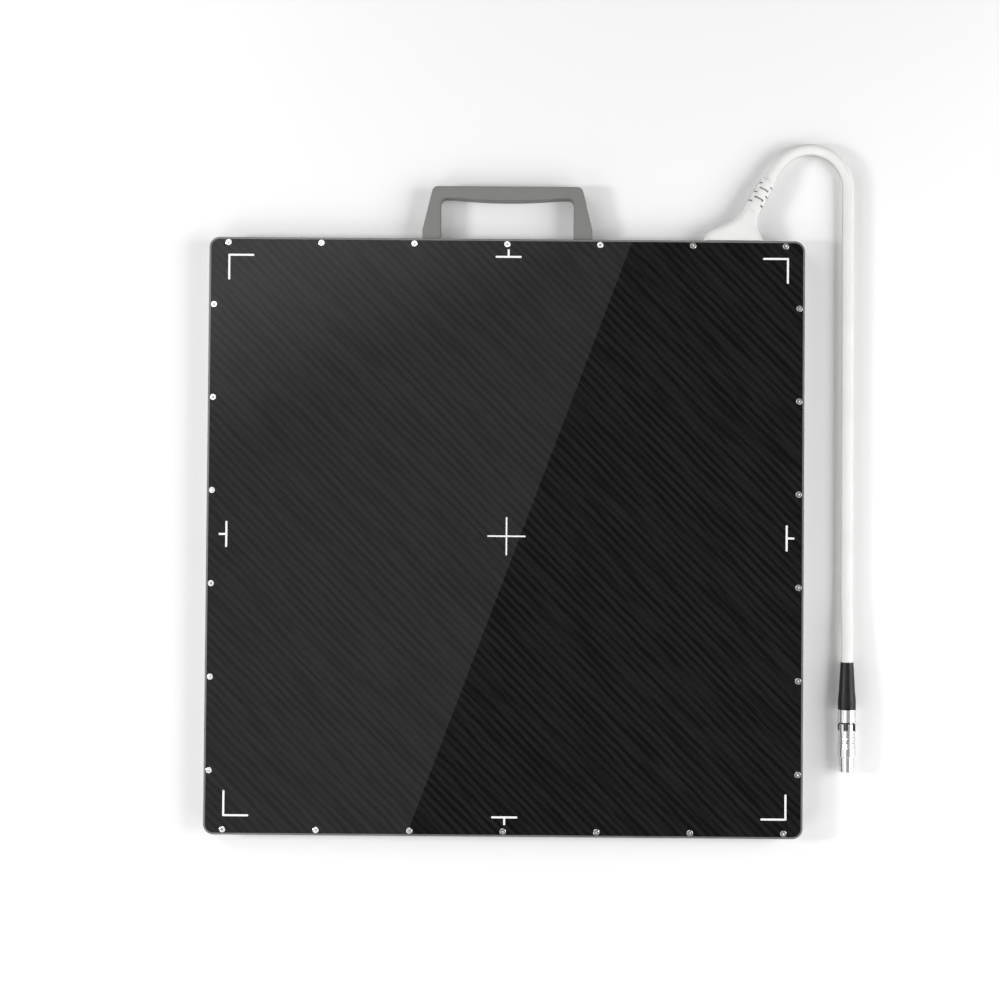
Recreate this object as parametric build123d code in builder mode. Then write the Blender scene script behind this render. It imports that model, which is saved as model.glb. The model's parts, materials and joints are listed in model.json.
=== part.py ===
from build123d import *
from math import cos, pi, radians, sin, tan
import os

# A wired flat panel x-ray detector that lies on its back.
# The origin is the centre of the back face. +Z goes up through the entrance window, +Y to the
# handle, and +X to the side where the cable lies. All sizes are in millimetres.

# Housing
panel = 460.0  # side of the square housing
panel_t = 15.0  # thickness of the housing
corner_r = 8.0  # plan radius of the housing's corners
rim = 1.5  # width of the metal edge that shows round the window
wall = 7.5  # width of the frame's side walls
edge_chamfer = 0.4  # softens the frame's outer edges
plate_gap = 0.1  # joint between a plate and the seat it lies in
bay_corner_r = 3.0  # plan radius of the corners of the frame's bay
window_t = 2.0  # carbon-fibre entrance window
cover_t = 2.0  # back cover
gasket_t = 0.3  # flat seals under the window and the cover
gasket_inset = 0.3  # the seals stop this far from the seat's edge
# shallow bare recess in the back cover
label_w = 96.0
label_h = 54.0
label_r = 4.0
label_depth = 0.3
label_rise = 80.0  # from the lower edge to the middle of the recess

# Countersunk screws of the window and the cover
screw_r = 1.25
screw_head_r = 2.45
screw_length = 6.0
screw_sink = 0.1  # the heads lie this far below the face
socket_flat = 1.5  # hexagon socket, across flats
socket_depth = 0.9
thread_gap = 0.05  # radial room round a screw in its thread
hole_gap = 0.1  # radial room round a screw in a through hole
screw_inset = 4.0  # from the housing's edge to the screw line
screw_corner = 10.75  # from the screw line of one edge to the last screw of the next
window_row = 7  # window screws in the top row and in the bottom row
window_column = 6  # window screws in each side column
window_column_drop = 1.5  # the side columns sit this much lower than the middle
cover_row = 7
cover_column = 5
cover_column_corner = 76.0

# White marks on the window
mark_inset = 14.4  # from the housing's edge to the square that frames the active area
mark_x = 1.1  # centre of the active area
mark_y = 0.55
mark_w = 1.55  # line width of the corner and side marks
mark_depth = 0.15
corner_arm = 20.0
side_bar = 20.2
side_stem = 6.6
cross_span = 29.5
cross_w = 1.15

# Imaging stack, from the window down
foam_t = 1.0
scintillator_t = 0.7
scintillator_inset = 1.5  # from the glass's edge, for the foam too
glass_t = 0.7
glass_inset = 0.5  # from the support plate's edge, for the shield too
shield_t = 0.5
support_t = 2.0
support_gap = 3.5  # room for the films between the support plate and the wall

# Bosses of the frame that carry the support plate
boss_side = 13.0
boss_t = 4.1
boss_root = 1.0  # the boss runs this far into the wall
boss_screw_inset = 7.5  # from the bay's wall to the boss's screw
pan_head_r = 2.25
pan_head_t = 1.3
thread_depth = 1.7  # threads in the support plate

# Circuit boards under the support plate
standoff_h = 2.0
standoff_r = 2.5
board_t = 1.6
board_corner_r = 2.0
board_inset = 16.5  # from the bay's wall to the boards' outer edges
board_hole_inset = 6.0
main_w = 300.0
main_h = 100.0
power_w = 150.0
power_h = 70.0
power_gap = 26.0  # between the main board and the power board
readout_h = 34.0
readout_gap = 8.0  # from the middle to each readout board
gate_w = 30.0
gate_gap = 12.0  # from the gate board to the readout boards

# Flexible films from the glass to the boards
film_t = 0.2
film_bend_r = 0.8
film_reach = 2.1  # from the glass's edge to the film's outer run
film_bond = 1.5  # overlap on the glass
film_tail = 2.5  # overlap on the board
readout_film_w = 20.0
readout_film_count = 12
gate_film_w = 30.0
gate_film_count = 6
film_margin = 14.5  # the films share the glass's edge between these margins
film_chip_w = 3.0
film_chip_t = 0.6
film_chip_inset = 9.0  # from the film's outer run to the chip's middle
readout_chip_l = 15.0
gate_chip_l = 18.0

# Parts on the boards, given as offsets from the board's middle, then width and height
connector_t = 1.9
chip_t = 1.8
small_chip_t = 1.1
processor_spec = (10.0, 5.0, 23.0, 23.0)
memory_specs = [(45.0, -6.0, 9.0, 13.0), (45.0, 14.0, 9.0, 13.0)]
link_chip_spec = (95.0, 10.0, 9.0, 9.0)
clock_chip_spec = (70.0, -20.0, 7.0, 5.0)
transformer_spec = (127.8, 15.0, 16.0, 11.0)
module_specs = [(-50.0, -18.0, 20.0, 18.0), (-50.0, 12.0, 20.0, 18.0)]
converter_specs = [(12.0, 0.0, 14.0, 14.0), (30.0, 0.0, 14.0, 14.0), (48.0, 0.0, 14.0, 14.0)]
can_spec = (30.0, 0.0, 62.0, 44.0)
can_wall = 0.3
pad_margin = 1.0
link_offset = 20.0  # from the power board's middle to the ribbon that feeds the main board
ribbon_t = 0.3
ribbon_w = 20.0
ribbon_bend_r = 1.0
ribbon_slope = 5.0
header_w = 10.0
header_l = 9.0
header_overhang = 3.0
ffc_w = 24.0
ffc_l = 5.0

# Handle
handle_foot_half = 65.8  # half of the width across the feet
handle_foot_rise = 7.5  # straight part of the feet
handle_top_half = 57.7
handle_h = 41.3  # from the housing to the top of the grip
handle_inner_half = 51.7
handle_opening_h = 32.1
grip_bulge = 2.0  # the underside of the grip swells by this much
grip_bulge_half = 40.0
handle_t = 11.0
handle_corner_r = 4.5
handle_knee_r = 12.0
handle_edge_r = 1.0
handle_screw_r = 2.0
handle_screw_head_r = 3.9
handle_thread = 10.0
handle_socket_flat = 2.5
handle_socket_depth = 2.0

# Strain relief of the cable, which leans away from the handle
boot_corner = 54.5  # from the housing's right edge to the middle of the boot's base
boot_lean = 29.5  # degrees from +Y
boot_exit = (26.65, 47.15)  # end of the boot, from the middle of its base
boot_base_half = 24.4
boot_left = [(-18.6, 8.6), (-5.5, 15.4), (2.6, 20.8)]  # outline, from the middle of the base
boot_right = [(18.6, 17.5), (18.6, 12.5)]
boot_left_start = (0.5, 1.0)
boot_right_end = (0.6, -1.0)
boot_half_t = 6.3
boot_edge_r = 5.5
neck_half = 6.5
neck_start = 21.5  # from the boot's end back to the flat body
boot_r = 6.8
boot_end_r = 6.1
boot_taper = 21.0
boot_root = 27.0
slot_w = 1.4
slot_pitch = 8.05
side_slot_start = 3.9  # from the boot's end to the first pair of side slots
side_slots = 3
face_slots = 2
side_slot_turn = 39.5  # degrees from the flat body's plane to the middle of a side slot
side_slot_half = 17.5  # degrees
face_slot_half = 39.0  # degrees
slot_floor = 4.95  # the slots stop this far from the cable's axis
boot_gasket_t = 0.5
boot_gasket_half = 22.5
boot_gasket_h = 10.0
boot_gasket_r = 3.3
boot_screw_r = 1.5
boot_screw_head_r = 2.8
boot_screw_spread = 17.0
boot_socket_flat = 2.0
boot_socket_depth = 1.2
insert_r = 2.4
insert_l = 6.0
insert_gap = 0.5  # the screws end this far short of the inserts' ends

# Cable
cable_d = 9.0
inlet_rise = 14.0  # above the housing's edge, where the cable turns square to it
core_r = 3.0
jacket_stop = 1.0  # the jacket ends this far above the housing's edge
wire_r = 0.45
wire_pitch = 1.0
wire_count = 6
wire_straight = 3.0  # straight ends of the wires
rest_gap = 0.1  # the cable and the plug lie this far above the back face's plane
boot_straight = 5.5  # straight start of the free cable
# points of the bend, from the housing's upper right corner and its back face
cable_bend = [
    (-19.5, 61.2, 7.2),
    (-9.0, 70.4, 6.7),
    (4.4, 74.0, 6.1),
    (18.1, 71.3, 5.5),
    (29.2, 62.8, 5.0),
]
lane_gap = 35.5  # the cable runs down beside the housing, this far from it
lane_start = 50.0  # above the housing's upper edge, and the next three below it
lift_start = 275.0  # the cable rises from here to the plug's axis
lift_end = 305.0
plug_rear = 324.9

# Plug: distances run from its rear end to its nose
plug_r = 6.8
relief_rear_r = 4.9
relief_mid = (6.1, 22.0)
relief_full = 30.0
nut_start = 36.2
nut_end = 46.2
skirt_r = 5.6
skirt_start = 24.0
collet_start = 37.0
collet_end = 41.0
collet_r = 5.3
collet_slit = 1.0
barrel_thread_r = 5.5
guide_r = 5.75
sleeve_gap = 1.2  # room behind the sleeve
sleeve_end = 72.9
sleeve_nose_r = 6.3
sleeve_nose_l = 0.5
slide_fit = 0.05  # radial play of the sliding sleeve
notch_count = 6
notch_w = 3.4
notch_l = 5.2
notch_turn = 20.5  # degrees from straight up towards the housing
ridge_start = 54.3
ridge_lengths = [4.8, 4.8, 2.5]
ridge_depth = 0.5
ridge_step = 0.2
ridge_rise = 1.4  # length of the slope that ends each grip ridge's groove
ridge_swell = 0.1
latch_start = 52.0
latch_ring_l = 4.0
latch_end = 69.0
latch_t = 0.4
latch_finger_half = 3.0
latch_room = 0.5
nose_start = 73.0
nose_r = 6.0
nose_groove = 80.2
nose_groove_w = 0.6
nose_groove_r = 5.4
nose_tip_r = 5.6
nose_end = 84.6
nose_chamfer = 0.4
mouth_r = 4.35
mouth_depth = 5.9
insulator_seat_r = 4.1
insulator_l = 19.0
plug_core_r = 3.0
plug_core_end = 57.0
contact_r = 0.75
contact_bore = 0.4
contact_count = 8
contact_circle = 2.6
chamfer_small = 0.3

# Levels and edges that follow from the sizes above
half = panel / 2
bay = panel - 2 * wall
bay_half = bay / 2
seat = panel - 2 * rim
seat_r = corner_r - rim
plate = seat - 2 * plate_gap
z_window = panel_t - window_t
z_shelf = z_window - gasket_t
z_ledge = cover_t + gasket_t
z_foam = z_window - foam_t
z_scintillator = z_foam - scintillator_t
z_glass = z_scintillator - glass_t
z_shield = z_glass - shield_t
z_support = z_shield - support_t
z_board_top = z_support - standoff_h
z_board = z_board_top - board_t
z_boss = z_support - boss_t
mid_z = panel_t / 2
cable_r = cable_d / 2
screw_line = half - screw_inset
screw_pitch = 2 * (screw_line - screw_corner) / (window_row - 1)
cover_column_pitch = 2 * (screw_line - cover_column_corner) / (cover_column - 1)
mark_span = panel - 2 * mark_inset
support_side = bay - 2 * support_gap
glass_side = support_side - 2 * glass_inset
scintillator_side = glass_side - 2 * scintillator_inset
readout_film_pitch = (glass_side - 2 * film_margin) / readout_film_count
gate_film_pitch = (glass_side - 2 * film_margin) / gate_film_count
boss_line = bay_half - boss_screw_inset
board_edge = bay_half - board_inset
gate_h = 2 * (board_edge - readout_h - gate_gap)
boot_x = half - boot_corner
cable_lane = half + lane_gap


def edge_screws(per_row, row_pitch, per_column, column_pitch, drop):
    """Places of screws along all four edges of a plate."""
    places = []
    for i in range(per_row):
        x = (i - (per_row - 1) / 2) * row_pitch
        places += [(x, screw_line), (x, -screw_line)]
    for i in range(per_column):
        y = (i - (per_column - 1) / 2) * column_pitch - drop
        places += [(screw_line, y), (-screw_line, y)]
    return places


def countersunk_screw(place, head_r, shank_r, length, flat, depth):
    """A countersunk socket screw: the place's +Z points out of the head."""
    head_h = head_r - shank_r
    with BuildPart(place) as screw:
        Cylinder(shank_r, length, align=(Align.CENTER, Align.CENTER, Align.MAX))
        with Locations((0, 0, -head_h)):
            Cone(shank_r, head_r, head_h, align=(Align.CENTER, Align.CENTER, Align.MIN))
        with BuildSketch(place.offset(-depth)):
            RegularPolygon(flat / 2, 6, major_radius=False)
        extrude(amount=depth, mode=Mode.SUBTRACT)
    return screw.part


def pan_screw(place, length):
    """A low pan-head screw: the place is under the head and its +Z points into the thread."""
    with BuildPart(place) as screw:
        Cylinder(screw_r, length, align=(Align.CENTER, Align.CENTER, Align.MIN))
        Cylinder(pan_head_r, pan_head_t, align=(Align.CENTER, Align.CENTER, Align.MAX))
        chamfer(screw.edges().filter_by(GeomType.CIRCLE).group_by(Axis.Z)[0], chamfer_small)
        with BuildSketch(place.offset(-pan_head_t)):
            RegularPolygon(socket_flat / 2, 6, major_radius=False)
        extrude(amount=pan_head_t / 2, mode=Mode.SUBTRACT)
    return screw.part


def bend_radii(points):
    """Radius at each corner of a route: 0.45 of the shorter run over the tangent of half the turn."""
    radii = []
    for before, corner, after in zip(points, points[1:], points[2:]):
        arriving = Vector(corner) - Vector(before)
        leaving = Vector(after) - Vector(corner)
        half_turn = radians(arriving.get_angle(leaving)) / 2
        radii.append(0.45 * min(arriving.length, leaving.length) / tan(half_turn))
    return radii


def tube(points, radius):
    """A round tube along straight runs that are joined by tangent arcs."""
    with BuildPart() as piece:
        with BuildLine() as route:
            FilletPolyline(*points, radius=bend_radii(points))
        with BuildSketch(Plane(origin=route.line @ 0, z_dir=route.line % 0)):
            Circle(radius)
        sweep(path=route.line)
    return piece.part


# Screw places
window_screw_places = edge_screws(
    window_row, screw_pitch, window_column, screw_pitch, window_column_drop
)
cover_screw_places = edge_screws(cover_row, screw_pitch, cover_column, cover_column_pitch, 0)
boss_signs = [(x, y) for x in (-1, 0, 1) for y in (-1, 0, 1) if (x, y) != (0, 0)]
boss_places = [(x * boss_line, y * boss_line) for x, y in boss_signs]
handle_screw_x = (handle_foot_half + handle_inner_half) / 2

# Route of the cable where the boot holds it
lean = radians(boot_lean)
along = Vector(sin(lean), cos(lean), 0)
across = Vector(cos(lean), -sin(lean), 0)
boot_base = Vector(boot_x, half, mid_z)
exit_point = boot_base + Vector(boot_exit[0], boot_exit[1], 0)
inlet_x = exit_point.X - (exit_point.Y - half - inlet_rise) * tan(lean)
boot_plane = Plane(origin=exit_point, x_dir=across, z_dir=along)
boot_plan = Plane(origin=exit_point, x_dir=across, z_dir=(0, 0, 1))
inlet_turn = Vector(inlet_x, half + inlet_rise, mid_z)
jacket_end = Vector(inlet_x, half + jacket_stop, mid_z)

# Free cable: out of the boot, round the bend on to the floor, down the panel's side, up to the plug
cable_z = cable_r + rest_gap
plug_z = plug_r + rest_gap
cable_points = [
    exit_point,
    exit_point + along * boot_straight,
    *[Vector(half + x, half + y, z) for x, y, z in cable_bend],
    Vector(cable_lane, half + lane_start, cable_z),
    Vector(cable_lane, half - lift_start, cable_z),
    Vector(cable_lane, half - lift_end, plug_z),
    Vector(cable_lane, half - plug_rear, plug_z),
]

# Frame
with BuildPart() as frame:
    with BuildSketch():
        RectangleRounded(panel, panel, corner_r)
    extrude(amount=panel_t)
    chamfer(frame.faces().sort_by(Axis.Z)[-1].edges(), edge_chamfer)
    chamfer(frame.faces().sort_by(Axis.Z)[0].edges(), edge_chamfer)
    with BuildSketch():
        RectangleRounded(bay, bay, bay_corner_r)
    extrude(amount=panel_t, mode=Mode.SUBTRACT)
    # seats of the window and the cover
    with BuildSketch(Plane.XY.offset(z_shelf)):
        RectangleRounded(seat, seat, seat_r)
    extrude(amount=panel_t - z_shelf, mode=Mode.SUBTRACT)
    with BuildSketch():
        RectangleRounded(seat, seat, seat_r)
    extrude(amount=z_ledge, mode=Mode.SUBTRACT)
    # bosses under the support plate, in the corners and in the middle of each side
    with BuildSketch(Plane.XY.offset(z_boss)):
        boss_l = boss_side + boss_root
        boss_middle = bay_half + boss_root - boss_l / 2
        for x, y in boss_signs:
            with Locations((x * boss_middle, y * boss_middle)):
                Rectangle(boss_l if x else boss_side, boss_l if y else boss_side)
    extrude(amount=boss_t)
    with BuildSketch(Plane.XY.offset(z_boss)):
        with Locations(*boss_places):
            Circle(screw_r + hole_gap)
    extrude(amount=boss_t, mode=Mode.SUBTRACT)
    # threads of the window screws and the cover screws
    thread_l = screw_length + screw_sink - window_t - gasket_t + thread_gap
    with BuildSketch(Plane.XY.offset(z_shelf)):
        with Locations(*window_screw_places):
            Circle(screw_r + thread_gap)
    extrude(amount=-thread_l, mode=Mode.SUBTRACT)
    with BuildSketch(Plane.XY.offset(z_ledge)):
        with Locations(*cover_screw_places):
            Circle(screw_r + thread_gap)
    extrude(amount=thread_l, mode=Mode.SUBTRACT)
    # holes through the upper wall for the handle, the boot and the cable's core
    for x in (-handle_screw_x, handle_screw_x):
        with Locations(Plane(origin=(x, bay_half, mid_z), z_dir=(0, -1, 0))):
            CounterSinkHole(
                handle_screw_r + hole_gap,
                handle_screw_head_r + hole_gap,
                depth=wall,
                counter_sink_angle=90,
            )
    for x in (boot_x - boot_screw_spread, boot_x + boot_screw_spread):
        with Locations(Plane(origin=(x, bay_half, mid_z), z_dir=(0, -1, 0))):
            CounterSinkHole(
                boot_screw_r + hole_gap,
                boot_screw_head_r + hole_gap,
                depth=wall,
                counter_sink_angle=90,
            )
    with Locations(Plane(origin=(inlet_x, bay_half, mid_z), z_dir=(0, -1, 0))):
        Hole(core_r + thread_gap, depth=wall)

# White marks: corner angles, side marks that point outwards, and a centre cross
with BuildSketch(Plane.XY.offset(panel_t - mark_depth)) as marks:
    side = mark_span / 2
    for sx in (-1, 1):
        for sy in (-1, 1):
            with Locations((mark_x + sx * (side - (corner_arm - mark_w) / 2), mark_y + sy * side)):
                SlotOverall(corner_arm, mark_w)
            with Locations((mark_x + sx * side, mark_y + sy * (side - (corner_arm - mark_w) / 2))):
                SlotOverall(corner_arm, mark_w, rotation=90)
    for turn, sx, sy in ((0, 0, 1), (0, 0, -1), (90, 1, 0), (90, -1, 0)):
        with Locations((mark_x + sx * side, mark_y + sy * side)):
            SlotOverall(side_bar, mark_w, rotation=turn)
        stem_middle = side + side_stem / 2 - mark_w / 4
        with Locations((mark_x + sx * stem_middle, mark_y + sy * stem_middle)):
            Rectangle(side_stem - mark_w / 2, mark_w, rotation=turn + 90)
    with Locations((mark_x, mark_y)):
        SlotOverall(cross_span, cross_w)
        SlotOverall(cross_span, cross_w, rotation=90)

# Entrance window
with BuildPart() as front_window:
    with BuildSketch(Plane.XY.offset(z_window)):
        RectangleRounded(plate, plate, seat_r - plate_gap)
    extrude(amount=window_t)
    with Locations(*[(x, y, panel_t) for x, y in window_screw_places]):
        CounterSinkHole(
            screw_r + hole_gap, screw_head_r + hole_gap, depth=window_t, counter_sink_angle=90
        )
    extrude(marks.sketch, amount=mark_depth, mode=Mode.SUBTRACT)

with BuildPart() as window_markings:
    extrude(marks.sketch, amount=mark_depth)

with BuildPart() as window_gasket:
    gasket_side = seat - 2 * gasket_inset
    with BuildSketch(Plane.XY.offset(z_shelf)):
        RectangleRounded(gasket_side, gasket_side, seat_r - gasket_inset)
        RectangleRounded(bay, bay, bay_corner_r, mode=Mode.SUBTRACT)
        with Locations(*window_screw_places):
            Circle(screw_r + hole_gap, mode=Mode.SUBTRACT)
    extrude(amount=gasket_t)

with BuildPart() as window_screws:
    for x, y in window_screw_places:
        head = Plane(origin=(x, y, panel_t - screw_sink))
        add(countersunk_screw(head, screw_head_r, screw_r, screw_length, socket_flat, socket_depth))

# Back cover
with BuildPart() as back_cover:
    with BuildSketch():
        RectangleRounded(plate, plate, seat_r - plate_gap)
    extrude(amount=cover_t)
    for x, y in cover_screw_places:
        with Locations(Plane(origin=(x, y, 0), z_dir=(0, 0, -1))):
            CounterSinkHole(
                screw_r + hole_gap, screw_head_r + hole_gap, depth=cover_t, counter_sink_angle=90
            )
    with BuildSketch():
        with Locations((0, label_rise - half)):
            RectangleRounded(label_w, label_h, label_r)
    extrude(amount=label_depth, mode=Mode.SUBTRACT)

with BuildPart() as cover_gasket:
    with BuildSketch(Plane.XY.offset(cover_t)):
        RectangleRounded(gasket_side, gasket_side, seat_r - gasket_inset)
        RectangleRounded(bay, bay, bay_corner_r, mode=Mode.SUBTRACT)
        with Locations(*cover_screw_places):
            Circle(screw_r + hole_gap, mode=Mode.SUBTRACT)
    extrude(amount=gasket_t)

with BuildPart() as cover_screws:
    for x, y in cover_screw_places:
        head = Plane(origin=(x, y, screw_sink), z_dir=(0, 0, -1))
        add(countersunk_screw(head, screw_head_r, screw_r, screw_length, socket_flat, socket_depth))

# Handle: two feet on the upper wall and a grip that swells in the middle of its underside
handle_z = mid_z - handle_t / 2
handle_top = half + handle_h
grip_y = half + handle_opening_h
with BuildPart() as handle:
    with BuildSketch(Plane.XY.offset(handle_z)) as handle_outline:
        with BuildLine():
            Polyline(
                (-handle_foot_half, half),
                (-handle_foot_half, half + handle_foot_rise),
                (-handle_top_half, handle_top),
                (handle_top_half, handle_top),
                (handle_foot_half, half + handle_foot_rise),
                (handle_foot_half, half),
                close=True,
            )
        make_face()
        fillet(handle_outline.vertices().group_by(Axis.Y)[-1], handle_corner_r)
        knees = handle_outline.vertices().filter_by(
            lambda v: abs(v.Y - half - handle_foot_rise) < chamfer_small
        )
        fillet(knees, handle_knee_r)
    extrude(amount=handle_t)
    with BuildSketch(Plane.XY.offset(handle_z)) as handle_opening:
        with BuildLine():
            Line((-grip_bulge_half, grip_y), (-handle_inner_half, grip_y))
            Line((-handle_inner_half, grip_y), (-handle_inner_half, half))
            Line((-handle_inner_half, half), (handle_inner_half, half))
            Line((handle_inner_half, half), (handle_inner_half, grip_y))
            Line((handle_inner_half, grip_y), (grip_bulge_half, grip_y))
            ThreePointArc(
                (grip_bulge_half, grip_y),
                (0, grip_y - grip_bulge),
                (-grip_bulge_half, grip_y),
            )
        make_face()
        corners = handle_opening.vertices().filter_by(
            lambda v: abs(v.Y - grip_y) < chamfer_small and abs(v.X) > handle_inner_half - chamfer_small
        )
        fillet(corners, handle_corner_r)
    extrude(amount=handle_t, mode=Mode.SUBTRACT)
    faces = handle.faces().filter_by(Axis.Z)
    rounded = faces.edges().filter_by(lambda e: e.center().Y > half + chamfer_small)
    fillet(rounded, handle_edge_r)
    for x in (-handle_screw_x, handle_screw_x):
        with Locations(Plane(origin=(x, half, mid_z), z_dir=(0, -1, 0))):
            Hole(handle_screw_r + thread_gap, depth=handle_thread + thread_gap)

with BuildPart() as handle_screws:
    for x in (-handle_screw_x, handle_screw_x):
        head = Plane(origin=(x, bay_half + screw_sink, mid_z), z_dir=(0, -1, 0))
        length = wall - screw_sink + handle_thread
        add(
            countersunk_screw(
                head,
                handle_screw_head_r,
                handle_screw_r,
                length,
                handle_socket_flat,
                handle_socket_depth,
            )
        )


def cut_slots(start, turns, half_angle):
    """Cut a ring of slots, each a ring sector about its turn, in the boot's round end."""
    reach = 2 * boot_r
    with BuildSketch(boot_plane.offset(-start - slot_w / 2)) as section:
        for turn in turns:
            low, high = radians(turn - half_angle), radians(turn + half_angle)
            with BuildLine():
                Polyline(
                    (0, 0),
                    (reach * cos(low), reach * sin(low)),
                    (reach * cos(high), reach * sin(high)),
                    close=True,
                )
            make_face()
        Circle(slot_floor, mode=Mode.SUBTRACT)
    extrude(section.sketch, amount=slot_w, mode=Mode.SUBTRACT)


# Strain relief: a flat body that narrows and leans, then a slotted round end
boot_bore = tube([exit_point + along, inlet_turn, jacket_end], cable_r + thread_gap)
with BuildPart() as cable_boot:
    base_y = half + boot_gasket_t
    neck = exit_point - along * neck_start
    neck_left = neck - across * neck_half
    neck_right = neck + across * neck_half
    left_foot = (boot_x - boot_base_half, base_y)
    right_foot = (boot_x + boot_base_half, base_y)
    with BuildSketch(Plane.XY.offset(mid_z - boot_half_t)):
        with BuildLine():
            Spline(
                left_foot,
                *[(boot_x + x, half + y) for x, y in boot_left],
                (neck_left.X, neck_left.Y),
                tangents=[boot_left_start, (along.X, along.Y)],
            )
            Line((neck_left.X, neck_left.Y), (neck_right.X, neck_right.Y))
            Spline(
                (neck_right.X, neck_right.Y),
                *[(boot_x + x, half + y) for x, y in boot_right],
                right_foot,
                tangents=[(-along.X, -along.Y), boot_right_end],
            )
            Line(right_foot, left_foot)
        make_face()
    extrude(amount=2 * boot_half_t)
    sides = cable_boot.faces().filter_by(Axis.Z).edges().filter_by(GeomType.LINE, reverse=True)
    fillet(sides, boot_edge_r)
    with BuildSketch(boot_plan):
        with BuildLine():
            Polyline(
                (0, 0),
                (boot_end_r, 0),
                (boot_r, -boot_taper),
                (boot_r, -boot_root),
                (0, -boot_root),
                close=True,
            )
        make_face()
    revolve(axis=Axis(exit_point, along))
    side_turns = [side_slot_turn, 180 - side_slot_turn, 180 + side_slot_turn, -side_slot_turn]
    for i in range(side_slots):
        cut_slots(side_slot_start + i * slot_pitch, side_turns, side_slot_half)
    for i in range(face_slots):
        cut_slots(side_slot_start + (i + 0.5) * slot_pitch, [90, 270], face_slot_half)
    add(boot_bore, mode=Mode.SUBTRACT)
    with Locations(Plane(origin=(inlet_x, base_y, mid_z), z_dir=(0, -1, 0))):
        Hole(core_r + thread_gap, depth=jacket_stop)
    for x in (boot_x - boot_screw_spread, boot_x + boot_screw_spread):
        with Locations(Plane(origin=(x, base_y, mid_z), z_dir=(0, -1, 0))):
            Hole(insert_r, depth=insert_l)

with BuildPart() as boot_gasket:
    with BuildSketch(Plane(origin=(boot_x, half, mid_z), x_dir=(1, 0, 0), z_dir=(0, 1, 0))):
        RectangleRounded(2 * boot_gasket_half, boot_gasket_h, boot_gasket_r)
        with Locations((inlet_x - boot_x, 0)):
            Circle(core_r + thread_gap, mode=Mode.SUBTRACT)
        with Locations((-boot_screw_spread, 0), (boot_screw_spread, 0)):
            Circle(boot_screw_r + hole_gap, mode=Mode.SUBTRACT)
    extrude(amount=boot_gasket_t)

with BuildPart() as boot_inserts:
    with BuildSketch(Plane(origin=(boot_x, base_y, mid_z), x_dir=(1, 0, 0), z_dir=(0, 1, 0))):
        with Locations((-boot_screw_spread, 0), (boot_screw_spread, 0)):
            Circle(insert_r)
            Circle(boot_screw_r + thread_gap, mode=Mode.SUBTRACT)
    extrude(amount=insert_l)

with BuildPart() as boot_screws:
    for x in (boot_x - boot_screw_spread, boot_x + boot_screw_spread):
        head = Plane(origin=(x, bay_half + screw_sink, mid_z), z_dir=(0, -1, 0))
        length = wall - screw_sink + boot_gasket_t + insert_l - insert_gap
        add(
            countersunk_screw(
                head,
                boot_screw_head_r,
                boot_screw_r,
                length,
                boot_socket_flat,
                boot_socket_depth,
            )
        )

# Cable in the boot, its core through the wall, and the wires to the header
with BuildPart() as inlet_cable:
    add(tube([exit_point, inlet_turn, jacket_end], cable_r))
    with BuildSketch(Plane(origin=(inlet_x, bay_half, mid_z), x_dir=(1, 0, 0), z_dir=(0, 1, 0))):
        Circle(core_r)
    extrude(amount=wall + jacket_stop)

wire_z = z_board - connector_t / 2
header_face = board_edge + header_overhang
with BuildPart() as inlet_wires:
    for i in range(wire_count):
        x = inlet_x + (i - (wire_count - 1) / 2) * wire_pitch
        add(
            tube(
                [
                    (x, bay_half, mid_z),
                    (x, bay_half - wire_straight, mid_z),
                    (x, header_face + wire_straight, wire_z),
                    (x, header_face, wire_z),
                ],
                wire_r,
            )
        )

# Free cable
with BuildPart() as cable:
    add(tube(cable_points, cable_r))

# Plug
plug_origin = cable_points[-1]
plug_plane = Plane(origin=plug_origin, x_dir=(1, 0, 0), z_dir=(0, 0, -1))
plug_section = Plane(origin=plug_origin, x_dir=(1, 0, 0), z_dir=(0, -1, 0))
plug_axis = Axis(plug_origin, (0, -1, 0))


def turned(*points):
    """A turned piece of the plug from (radius, distance from the plug's rear) points."""
    with BuildPart() as piece:
        with BuildSketch(plug_plane):
            with BuildLine():
                Polyline(*points, close=True)
            make_face()
        revolve(axis=plug_axis)
    return piece.part


with BuildPart() as plug_bend_relief:
    add(
        turned(
            (cable_r + thread_gap, 0),
            (relief_rear_r, 0),
            relief_mid,
            (plug_r, relief_full),
            (plug_r, nut_start),
            (skirt_r + thread_gap, nut_start),
            (skirt_r + thread_gap, skirt_start),
            (cable_r + thread_gap, skirt_start),
        )
    )

with BuildPart() as plug_cable_end:
    add(
        turned(
            (0, 0),
            (cable_r, 0),
            (cable_r, collet_end),
            (plug_core_r, collet_end),
            (plug_core_r, plug_core_end),
            (0, plug_core_end),
        )
    )

with BuildPart() as plug_collet_nut:
    add(
        turned(
            (cable_r + hole_gap, skirt_start),
            (skirt_r, skirt_start),
            (skirt_r, nut_start),
            (plug_r - chamfer_small, nut_start),
            (plug_r, nut_start + chamfer_small),
            (plug_r, nut_end - chamfer_small),
            (plug_r - chamfer_small, nut_end),
            (barrel_thread_r + thread_gap, nut_end),
            (barrel_thread_r + thread_gap, collet_end),
            (collet_r, collet_end),
            (collet_r, collet_start),
            (cable_r + hole_gap, collet_start),
        )
    )

with BuildPart() as plug_collet:
    add(
        turned(
            (cable_r + thread_gap, collet_start + thread_gap),
            (collet_r - thread_gap, collet_start + thread_gap),
            (collet_r - thread_gap, collet_end - thread_gap),
            (cable_r + thread_gap, collet_end - thread_gap),
        )
    )
    with BuildSketch(plug_section.offset(collet_start)):
        Rectangle(collet_slit, collet_r, align=(Align.CENTER, Align.MIN))
    extrude(amount=collet_end - collet_start, mode=Mode.SUBTRACT)

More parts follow.
